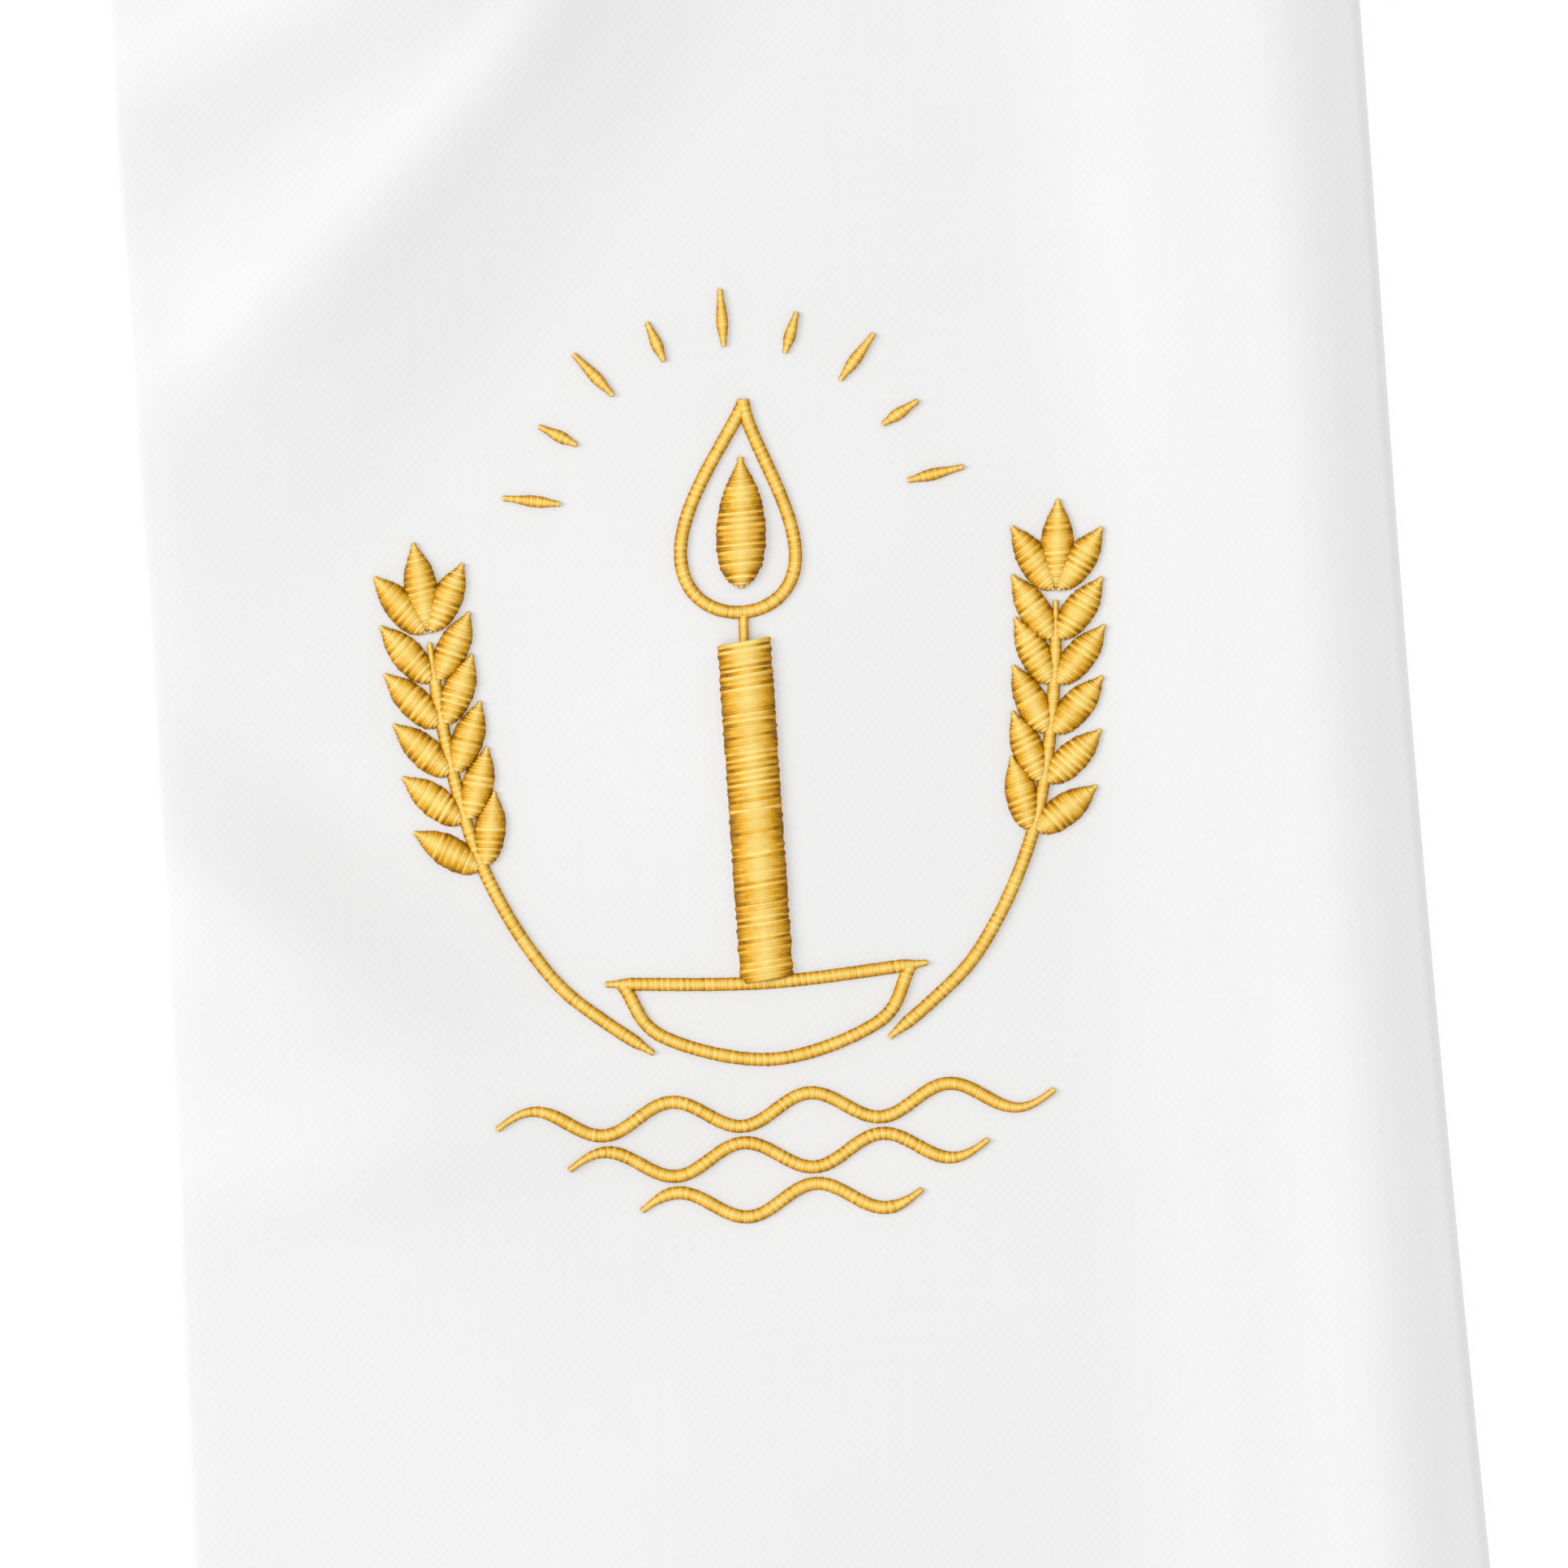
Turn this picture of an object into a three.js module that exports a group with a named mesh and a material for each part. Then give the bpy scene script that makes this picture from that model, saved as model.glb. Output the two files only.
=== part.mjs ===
// A child's baptism stole, laid out on a table: two long satin strips, cut to bend at the
// shoulder and joined by one upright seam at the back of the neck.
// Millimetres. +Z is up from the table, +Y runs from the hems to the neck, and the strip on
// the +X side is the one that carries the embroidery. Both strips lie flat but for soft
// folds, under which the cloth lifts off the table.
import * as THREE from "three";

const { degToRad, clamp, lerp } = THREE.MathUtils;

// Driving sizes of one strip.
const STRIP_LENGTH = 690; // hem to neck seam, along the middle of the strip
const CLOTH_THICK = 1.6; // satin face, soft interlining and satin back, turned and pressed
const LEG_TILT = degToRad(3.9); // the long straight part leans this far from +Y
const NECK_TILT = degToRad(50); // the neck end leans this far from +Y
const NECK_STRAIGHT = 18; // straight run beside the neck seam
const SHOULDER_BEND = 135; // length of the curve that joins the neck end to the straight part
const SEAM_GAP = 0.3; // between the two strips at the neck seam

// How wide the strip is cut, by the distance up from its hem.
const WIDTHS = [
  { up: 0, wide: 108 },
  { up: 60, wide: 103 },
  { up: 122, wide: 100 },
  { up: 185, wide: 99.4 },
  { up: 330, wide: 96 },
  { up: 500, wide: 87 },
  { up: 600, wide: 81 },
  { up: STRIP_LENGTH, wide: 80 },
];

// Grid that carries the form: columns run from the inner edge to the outer one, and the rows
// lie closer together where folds slant across the strip. Each run of rows ends at upTo.
const COLUMNS = 16;
const ROW_RUNS = [
  { upTo: 76, rows: 7 },
  { upTo: 262, rows: 34 },
  { upTo: 468, rows: 18 },
  { upTo: 648, rows: 30 },
  { upTo: STRIP_LENGTH, rows: 5 },
];
const ROWS = ROW_RUNS.reduce((sum, run) => sum + run.rows, 0);

// A fold is a soft ridge over a straight or bowed crest, which runs between two places on the
// strip, from and to. A place is [across, up]: across from the middle of the strip, positive
// towards the outer edge, and up from the hem. bow pushes the middle of the crest towards its
// left, seen going from its start to its end. flanks are how far its left and right sides reach,
// taper scales them at the end, round is how far the crest stays round on each side, and fade
// is the share of the crest over which it rises at each end.
const FOLDS_EMBROIDERED = [
  // the long roll beside the outer edge
  { from: [46, -40], to: [40, 345], bow: 0, high: 2.7, flanks: [22.5, 14.5], taper: 1, round: 2.5, fade: 0.16 },
  // slanting folds that leave the inner edge above the embroidery
  { from: [-72, 139], to: [2, 217], bow: -9, high: 2.7, flanks: [27, 22], taper: 0.8, round: 6, fade: 0.38 },
  { from: [-76, 167.5], to: [-7, 201.5], bow: -1, high: 3.1, flanks: [20, 15], taper: 0.7, round: 3, fade: 0.3 },
  { from: [-76, 183], to: [8, 250], bow: 3, high: 2.9, flanks: [14, 24], taper: 0.7, round: 4, fade: 0.25 },
  // short drag folds across the inner half, beside and below the embroidery
  { from: [-68, 133.5], to: [-20, 99], bow: -1.5, high: 3.6, flanks: [15, 23], taper: 0.9, round: 3, fade: 0.5 },
  { from: [-64, 91], to: [-2, 97], bow: 1, high: 1.2, flanks: [10, 9], taper: 0.8, round: 3, fade: 0.5 },
  { from: [-64, 60], to: [-14, 46], bow: -1, high: 1.1, flanks: [11, 12], taper: 0.8, round: 4, fade: 0.4 },
  // upper part of the strip
  { from: [62, 362], to: [-20, 288], bow: -5, high: 2.7, flanks: [19, 15], taper: 0.7, round: 4, fade: 0.4 },
  { from: [-18, 268], to: [-33, 500], bow: 6, high: 2.5, flanks: [15, 20], taper: 0.8, round: 5, fade: 0.45 },
  { from: [26, 342], to: [22, 568], bow: -7, high: 2.8, flanks: [20, 17], taper: 0.8, round: 4, fade: 0.45 },
  // buckles that spread from the inside of the shoulder bend
  { from: [-60, 530], to: [18, 488], bow: 2, high: 3.2, flanks: [16, 19], taper: 0.7, round: 4, fade: 0.42 },
  { from: [-60, 580], to: [30, 566], bow: -3, high: 4.2, flanks: [18, 17], taper: 0.8, round: 4, fade: 0.42 },
  { from: [-60, 627], to: [22, 642], bow: 2, high: 2.8, flanks: [17, 16], taper: 0.8, round: 4, fade: 0.42 },
];
const FOLDS_PLAIN = [
  { from: [21, 40], to: [29, 336], bow: 3, high: 2.3, flanks: [17, 16], taper: 1, round: 4, fade: 0.36 },
  { from: [4, -60], to: [-8, 130], bow: 4, high: 1.7, flanks: [15, 14], taper: 0.7, round: 4, fade: 0.42 },
  { from: [-66, 68], to: [4, 108], bow: -3, high: 2.2, flanks: [14, 18], taper: 0.7, round: 4, fade: 0.45 },
  { from: [-66, 138], to: [-2, 156], bow: 2, high: 1.6, flanks: [13, 15], taper: 0.8, round: 4, fade: 0.45 },
  { from: [70, 206], to: [-14, 160], bow: -4, high: 2.4, flanks: [16, 15], taper: 0.7, round: 4, fade: 0.42 },
  { from: [-66, 202], to: [26, 290], bow: 4, high: 3.2, flanks: [14, 20], taper: 0.7, round: 4, fade: 0.38 },
  { from: [-12, 296], to: [-26, 506], bow: -7, high: 2.6, flanks: [18, 15], taper: 0.8, round: 4, fade: 0.45 },
  { from: [64, 412], to: [-16, 344], bow: 4, high: 2.6, flanks: [15, 18], taper: 0.7, round: 4, fade: 0.4 },
  { from: [24, 398], to: [30, 584], bow: 4, high: 2.6, flanks: [18, 15], taper: 0.8, round: 4, fade: 0.42 },
  { from: [-60, 520], to: [12, 480], bow: -2, high: 3.0, flanks: [15, 18], taper: 0.7, round: 4, fade: 0.42 },
  { from: [-60, 566], to: [28, 552], bow: 3, high: 3.8, flanks: [17, 18], taper: 0.8, round: 4, fade: 0.42 },
  { from: [-60, 611], to: [36, 624], bow: -3, high: 3.1, flanks: [17, 17], taper: 0.8, round: 4, fade: 0.42 },
];

// The smooth curve through a table's rows, at one place along it.
function tableAt(table, key, column, at) {
  const last = table.length - 1;
  const i = clamp(table.findIndex((row) => row[key] > at) - 1, 0, last - 1);
  const start = at >= table[last][key] ? last - 1 : i;
  const slope = (j) => {
    const a = table[Math.max(j - 1, 0)];
    const b = table[Math.min(j + 1, last)];
    return (b[column] - a[column]) / (b[key] - a[key]);
  };
  const [a, b] = [table[start], table[start + 1]];
  const span = b[key] - a[key];
  const t = clamp((at - a[key]) / span, 0, 1);
  return (
    a[column] * (1 + 2 * t) * (1 - t) ** 2 +
    b[column] * t * t * (3 - 2 * t) +
    span * slope(start) * t * (1 - t) ** 2 -
    span * slope(start + 1) * t * t * (1 - t)
  );
}

const smooth = (t) => THREE.MathUtils.smoothstep(t, 0, 1);

// A flank falls from 1 at the crest to 0 at its foot: round at the crest, then straight, then
// round again over the last share of its reach, where the cloth comes down to the table.
function flank(away, reach, round) {
  const FOOT_SHARE = 0.4;
  const foot = FOOT_SHARE * reach;
  const slope = 1 / (reach - (foot + round) / 2);
  if (away >= reach) return 0;
  if (away < round) return 1 - (slope * away * away) / (2 * round);
  if (away > reach - foot) return (slope * (reach - away) ** 2) / (2 * foot);
  return 1 - slope * (away - round / 2);
}

// How high one fold lifts the cloth at a place on the strip.
function foldHeight(fold, across, up) {
  const [runAcross, runUp] = [fold.to[0] - fold.from[0], fold.to[1] - fold.from[1]];
  const [offAcross, offUp] = [across - fold.from[0], up - fold.from[1]];
  const run = Math.hypot(runAcross, runUp);
  const along = (offAcross * runAcross + offUp * runUp) / (run * run);
  if (along <= 0 || along >= 1) return 0;
  const side = (offUp * runAcross - offAcross * runUp) / run - fold.bow * 4 * along * (1 - along);
  const narrowing = lerp(1, fold.taper, along);
  const reach = fold.flanks[side > 0 ? 0 : 1] * narrowing;
  const ends = smooth(along / fold.fade) * smooth((1 - along) / fold.fade);
  return fold.high * ends * flank(Math.abs(side), reach, fold.round * narrowing);
}

const liftAt = (folds, across, up) => folds.reduce((sum, fold) => sum + foldHeight(fold, across, up), 0);

// The strip's lean from +Y, by the distance down from the neck seam.
const leanAt = (down) => lerp(NECK_TILT, LEG_TILT, smooth((down - NECK_STRAIGHT) / SHOULDER_BEND));

// Distances up from the hem at which the grid has its rows, from the neck seam down to the hem.
function rowHeights() {
  const heights = [0];
  for (const { upTo, rows } of ROW_RUNS) {
    const from = heights[heights.length - 1];
    for (let i = 1; i <= rows; i++) heights.push(lerp(from, upTo, i / rows));
  }
  return heights.reverse();
}

// Middle point of the strip on the table for each row, walked down from the neck seam.
function middleLine() {
  const STEPS_PER_ROW = 12;
  const heights = rowHeights();
  const points = [{ x: SEAM_GAP / 2, y: 0, down: 0 }];
  for (let row = 1; row <= ROWS; row++) {
    let { x, y, down } = points[row - 1];
    const step = (heights[row - 1] - heights[row]) / STEPS_PER_ROW;
    for (let i = 0; i < STEPS_PER_ROW; i++) {
      const lean = leanAt(down + step / 2);
      x += Math.sin(lean) * step;
      y -= Math.cos(lean) * step;
      down += step;
    }
    points.push({ x, y, down });
  }
  return points;
}

// The direction across the strip. It is square to the strip, but turns to run along the seam at the neck.
function acrossAt(down) {
  const turned = 1 - smooth(down / (NECK_STRAIGHT + SHOULDER_BEND));
  const skew = turned * (Math.PI / 2 - NECK_TILT);
  const angle = leanAt(down) + skew;
  return { x: Math.cos(angle), y: Math.sin(angle), stretch: 1 / Math.cos(skew) };
}

// One strip as a closed wall: a grid for its face, the same grid for its back, and a rim round both.
function stripGeometry(folds, mirror) {
  const positions = [];
  const middle = middleLine();
  for (const level of [CLOTH_THICK, 0]) {
    for (const { x, y, down } of middle) {
      const up = STRIP_LENGTH - down;
      const across = acrossAt(down);
      const half = tableAt(WIDTHS, "up", "wide", up) / 2;
      for (let c = 0; c <= COLUMNS; c++) {
        const offset = lerp(-half, half, c / COLUMNS);
        const reach = offset * across.stretch;
        const lift = liftAt(folds, offset, up);
        positions.push(mirror * (x + across.x * reach), y + across.y * reach, lift + level);
      }
    }
  }
  const wide = COLUMNS + 1;
  const backStart = (ROWS + 1) * wide;
  const indices = [];
  const height = (i) => positions[3 * i + 2];
  // Each cell is halved along the diagonal whose ends are nearer in height, so that its edge follows a crest.
  const quad = (a, b, c, d) => {
    if (Math.abs(height(a) - height(c)) <= Math.abs(height(b) - height(d))) indices.push(a, b, c, a, c, d);
    else indices.push(b, c, d, b, d, a);
  };
  for (let r = 0; r < ROWS; r++) {
    for (let c = 0; c < COLUMNS; c++) {
      const at = r * wide + c;
      quad(at, at + wide, at + wide + 1, at + 1);
      quad(backStart + at, backStart + at + 1, backStart + at + wide + 1, backStart + at + wide);
    }
  }
  const rim = [];
  for (let c = 0; c < COLUMNS; c++) rim.push(c);
  for (let r = 0; r < ROWS; r++) rim.push(r * wide + COLUMNS);
  for (let c = COLUMNS; c > 0; c--) rim.push(ROWS * wide + c);
  for (let r = ROWS; r > 0; r--) rim.push(r * wide);
  rim.forEach((at, i) => {
    const next = rim[(i + 1) % rim.length];
    quad(at, next, backStart + next, backStart + at);
  });
  if (mirror < 0) {
    for (let i = 0; i < indices.length; i += 3) {
      [indices[i + 1], indices[i + 2]] = [indices[i + 2], indices[i + 1]];
    }
  }
  const geometry = new THREE.BufferGeometry();
  geometry.setAttribute("position", new THREE.Float32BufferAttribute(positions, 3));
  geometry.setIndex(indices);
  geometry.computeVertexNormals();
  return geometry;
}

const SATIN_WHITE = "#f3f3f2";
const satin = () => new THREE.MeshStandardMaterial({ color: SATIN_WHITE, roughness: 0.45, metalness: 0 });

const stripEmbroidered = new THREE.Mesh(stripGeometry(FOLDS_EMBROIDERED, 1), satin());
stripEmbroidered.name = "strip_embroidered";

const stripPlain = new THREE.Mesh(stripGeometry(FOLDS_PLAIN, -1), satin());
stripPlain.name = "strip_plain";

const stole = new THREE.Group();
stole.add(stripEmbroidered, stripPlain);

// The origin lies on the table, under the middle of the whole outline.
const box = new THREE.Box3().setFromObject(stole);
stole.position.set(-(box.min.x + box.max.x) / 2, -(box.min.y + box.max.y) / 2, 0);

export default stole;
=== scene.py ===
import math
from collections import namedtuple

import bpy
import numpy as np
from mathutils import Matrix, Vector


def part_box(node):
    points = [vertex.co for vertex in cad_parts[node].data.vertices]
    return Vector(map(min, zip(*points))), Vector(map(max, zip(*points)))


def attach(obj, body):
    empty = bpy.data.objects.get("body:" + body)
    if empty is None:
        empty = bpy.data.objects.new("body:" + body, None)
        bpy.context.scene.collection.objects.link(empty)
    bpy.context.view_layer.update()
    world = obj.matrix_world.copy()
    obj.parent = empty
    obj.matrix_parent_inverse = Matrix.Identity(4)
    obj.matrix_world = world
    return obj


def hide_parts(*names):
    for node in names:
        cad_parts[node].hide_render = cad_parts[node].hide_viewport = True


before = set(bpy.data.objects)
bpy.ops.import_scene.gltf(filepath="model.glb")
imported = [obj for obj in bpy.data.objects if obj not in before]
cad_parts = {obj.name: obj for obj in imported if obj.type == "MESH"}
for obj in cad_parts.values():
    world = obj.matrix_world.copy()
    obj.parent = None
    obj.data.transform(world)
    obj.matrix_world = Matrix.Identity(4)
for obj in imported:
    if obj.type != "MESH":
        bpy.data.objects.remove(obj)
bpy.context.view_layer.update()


# The two strips of the stole. Each is a satin face, a soft interlining and a satin back, sewn
# together inside out, turned and pressed, so that its edges roll over with no stitch showing.
# They lie on the table in the folds that they were put down with.

# Sizes are in millimetres. Each strip leaves the neck seam at NECK_TILT from +Y, runs straight
# for NECK_STRAIGHT, and bends over SHOULDER_BEND until its leg leans by LEG_TILT.
MM = 0.001
STRIP_LENGTH = 690
CLOTH_THICK = 1.6
LEG_TILT = math.radians(3.9)
NECK_TILT = math.radians(50)
NECK_STRAIGHT = 18
SHOULDER_BEND = 135
SEAM_GAP = 0.3

# Distance up from the hem, and how wide the strip is cut there.
WIDTHS = np.array([
    (0, 108), (60, 103), (122, 100), (185, 99.4),
    (330, 96), (500, 87), (600, 81), (STRIP_LENGTH, 80),
], float)

# A fold's crest runs between two places on the strip, (across, up). Across is from the middle
# of the strip, positive to its outer edge, and up is from the hem. bow pushes the middle of the
# crest to its left, flanks are how far its left and right sides reach, taper scales them at the
# end, round is how far the crest stays round, and fade is the share over which it rises.
Fold = namedtuple("Fold", "start end bow high flanks taper round fade")
FOLDS_EMBROIDERED = (
    # the long roll beside the outer edge
    Fold((46, -40), (40, 345), 0, 2.7, (22.5, 14.5), 1, 2.5, 0.16),
    # slanting folds that leave the inner edge above the embroidery
    Fold((-72, 139), (2, 217), -9, 2.7, (27, 22), 0.8, 6, 0.38),
    Fold((-76, 167.5), (-7, 201.5), -1, 3.1, (20, 15), 0.7, 3, 0.3),
    Fold((-76, 183), (8, 250), 3, 2.9, (14, 24), 0.7, 4, 0.25),
    # short drag folds across the inner half, beside and below the embroidery
    Fold((-68, 133.5), (-20, 99), -1.5, 3.6, (15, 23), 0.9, 3, 0.5),
    Fold((-64, 91), (-2, 97), 1, 1.2, (10, 9), 0.8, 3, 0.5),
    Fold((-64, 60), (-14, 46), -1, 1.1, (11, 12), 0.8, 4, 0.4),
    # upper part of the strip
    Fold((62, 362), (-20, 288), -5, 2.7, (19, 15), 0.7, 4, 0.4),
    Fold((-18, 268), (-33, 500), 6, 2.5, (15, 20), 0.8, 5, 0.45),
    Fold((26, 342), (22, 568), -7, 2.8, (20, 17), 0.8, 4, 0.45),
    # buckles that spread from the inside of the shoulder bend
    Fold((-60, 530), (18, 488), 2, 3.2, (16, 19), 0.7, 4, 0.42),
    Fold((-60, 580), (30, 566), -3, 4.2, (18, 17), 0.8, 4, 0.42),
    Fold((-60, 627), (22, 642), 2, 2.8, (17, 16), 0.8, 4, 0.42),
)
FOLDS_PLAIN = (
    Fold((21, 40), (29, 336), 3, 2.3, (17, 16), 1, 4, 0.36),
    Fold((4, -60), (-8, 130), 4, 1.7, (15, 14), 0.7, 4, 0.42),
    Fold((-66, 68), (4, 108), -3, 2.2, (14, 18), 0.7, 4, 0.45),
    Fold((-66, 138), (-2, 156), 2, 1.6, (13, 15), 0.8, 4, 0.45),
    Fold((70, 206), (-14, 160), -4, 2.4, (16, 15), 0.7, 4, 0.42),
    Fold((-66, 202), (26, 290), 4, 3.2, (14, 20), 0.7, 4, 0.38),
    Fold((-12, 296), (-26, 506), -7, 2.6, (18, 15), 0.8, 4, 0.45),
    Fold((64, 412), (-16, 344), 4, 2.6, (15, 18), 0.7, 4, 0.4),
    Fold((24, 398), (30, 584), 4, 2.6, (18, 15), 0.8, 4, 0.42),
    Fold((-60, 520), (12, 480), -2, 3.0, (15, 18), 0.7, 4, 0.42),
    Fold((-60, 566), (28, 552), 3, 3.8, (17, 18), 0.8, 4, 0.42),
    Fold((-60, 611), (36, 624), -3, 3.1, (17, 17), 0.8, 4, 0.42),
)

# Creases and swells of about a millimetre and less, which lie on top of the folds.
CREASES_EMBROIDERED = (
    # the sharp crest of the main slanting fold, and a dent and low ridges along the roll
    Fold((-53, 152), (-1, 204), -4, 0.6, (4.8, 8), 0.7, 1.5, 0.2),
    Fold((36.5, -60), (36.5, 150), 0, -0.35, (5, 9), 1, 2, 0.5),
    Fold((33, 100), (30, 280), 0, 0.25, (8, 9), 1, 2, 0.4),
    Fold((53.5, -60), (51, 300), 0, 0.3, (4.5, 4), 1, 1, 0.2),
    # a dent that eases the slope beside the inner edge, below the main fold
    Fold((-44.5, 142), (-44.5, 174), 0, -0.4, (8, 16), 1, 2, 0.4),
    # low swells beside, under and below the embroidery
    Fold((-26, 80), (-26, 130), 0, 1.0, (24, 34), 1, 6, 0.45),
    Fold((-46, 126), (-46, 160), 0, 0.3, (12, 24), 1, 3, 0.4),
    Fold((4, 86), (-10, 150), 0, 0.8, (26, 24), 1, 6, 0.4),
    Fold((-8, -40), (-6, 90), 0, 1.0, (24, 32), 1, 8, 0.35),
    # sharper crests on the folds farther up
    Fold((40, 343), (4, 310), -3, 0.4, (5, 8), 0.7, 1.5, 0.3),
    Fold((-28, 336), (-35, 436), 2, 0.35, (7, 5), 0.8, 1.5, 0.35),
    Fold((30, 400), (29, 500), -2, 0.4, (8, 5), 0.8, 1.5, 0.35),
)
CREASES_PLAIN = (
    Fold((34, -40), (30, 60), 0, 0.8, (28, 22), 1, 7, 0.35),
    Fold((-50, 100), (-14, 138), 1, 0.5, (6, 7), 1, 2, 0.3),
    Fold((10, 196), (2, 268), 0, 0.9, (20, 30), 1, 6, 0.4),
    Fold((34, 340), (36, 410), 0, 0.5, (18, 12), 1, 3, 0.45),
    # sharper crests on the larger folds
    Fold((-40, 228), (2, 266), 3, 0.45, (5, 8), 0.7, 1.5, 0.3),
    Fold((44, 191), (12, 174), -1, 0.35, (6, 5), 0.7, 1.5, 0.3),
    Fold((-10, 350), (-14, 440), -1, 0.35, (5, 7), 0.8, 1.5, 0.35),
    Fold((40, 390), (8, 365), 2, 0.35, (5, 7), 0.7, 1.5, 0.3),
)


def smooth(share):
    """An even rise from 0 to 1 that starts and ends level."""
    share = np.clip(share, 0, 1)
    return share * share * (3 - 2 * share)


def width_at(up):
    """The strip's width: a smooth curve through the rows of WIDTHS."""
    at, wide = WIDTHS.T
    slope = np.empty(len(at))
    slope[1:-1] = (wide[2:] - wide[:-2]) / (at[2:] - at[:-2])
    slope[0] = (wide[1] - wide[0]) / (at[1] - at[0])
    slope[-1] = (wide[-1] - wide[-2]) / (at[-1] - at[-2])
    i = np.clip(np.searchsorted(at, up, side="right") - 1, 0, len(at) - 2)
    span = at[i + 1] - at[i]
    t = np.clip((up - at[i]) / span, 0, 1)
    return (wide[i] * (1 + 2 * t) * (1 - t) ** 2 + wide[i + 1] * t * t * (3 - 2 * t)
            + span * (slope[i] * t * (1 - t) ** 2 - slope[i + 1] * t * t * (1 - t)))


def lift_of(folds, across, up):
    """How far the folds lift the cloth off the table."""
    foot_share = 0.4
    least_reach = 0.001
    lift = np.zeros(np.broadcast(across, up).shape)
    for fold in folds:
        run = np.subtract(fold.end, fold.start)
        length = math.hypot(*run)
        off = (across - fold.start[0], up - fold.start[1])
        along = (off[0] * run[0] + off[1] * run[1]) / length ** 2
        side = (off[1] * run[0] - off[0] * run[1]) / length - fold.bow * 4 * along * (1 - along)
        narrowing = 1 + (fold.taper - 1) * along
        reach = np.maximum(np.where(side > 0, *fold.flanks) * narrowing, least_reach)
        crest = fold.round * narrowing
        foot = foot_share * reach
        slope = 1 / (reach - (foot + crest) / 2)
        away = np.minimum(np.abs(side), reach)
        round_top = 1 - slope * away ** 2 / (2 * crest)
        straight = 1 - slope * (away - crest / 2)
        hollow = slope * (reach - away) ** 2 / (2 * foot)
        flank = np.where(away < crest, round_top, straight)
        flank = np.where(away > reach - foot, hollow, flank)
        ends = smooth(along / fold.fade) * smooth((1 - along) / fold.fade)
        lift += fold.high * ends * flank
    return lift


def lean_at(down):
    """How far the middle line leans from +Y, at a distance down from the neck seam."""
    return NECK_TILT + (LEG_TILT - NECK_TILT) * smooth((down - NECK_STRAIGHT) / SHOULDER_BEND)


# The strip's middle line on the table, walked down from the neck seam.
WALK = 0.25
walked = np.arange(0, STRIP_LENGTH + WALK, WALK)
steps = np.concatenate(([0], np.full(len(walked) - 1, WALK)))
middle_x = SEAM_GAP / 2 + np.cumsum(np.sin(lean_at(walked - WALK / 2)) * steps)
middle_y = -np.cumsum(np.cos(lean_at(walked - WALK / 2)) * steps)
neck_half = width_at(np.array([STRIP_LENGTH]))[0] / 2 / math.sin(NECK_TILT)
middle_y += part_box("strip_embroidered")[1][1] / MM - neck_half


def on_strip(across, up):
    """Where a place on the embroidered strip lies on the table, in millimetres."""
    down = STRIP_LENGTH - up
    skew = (1 - smooth(down / (NECK_STRAIGHT + SHOULDER_BEND))) * (math.pi / 2 - NECK_TILT)
    angle = lean_at(down) + skew
    reach = across / np.cos(skew)
    x = np.interp(down, walked, middle_x) + np.cos(angle) * reach
    y = np.interp(down, walked, middle_y) + np.sin(angle) * reach
    return x, y


def rounded(away, reach):
    """The quarter round of a pressed edge: 0 at the edge, 1 from reach inwards."""
    share = np.clip(away / reach, 0, 1)
    return np.sqrt(1 - (1 - share) ** 2)


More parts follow.
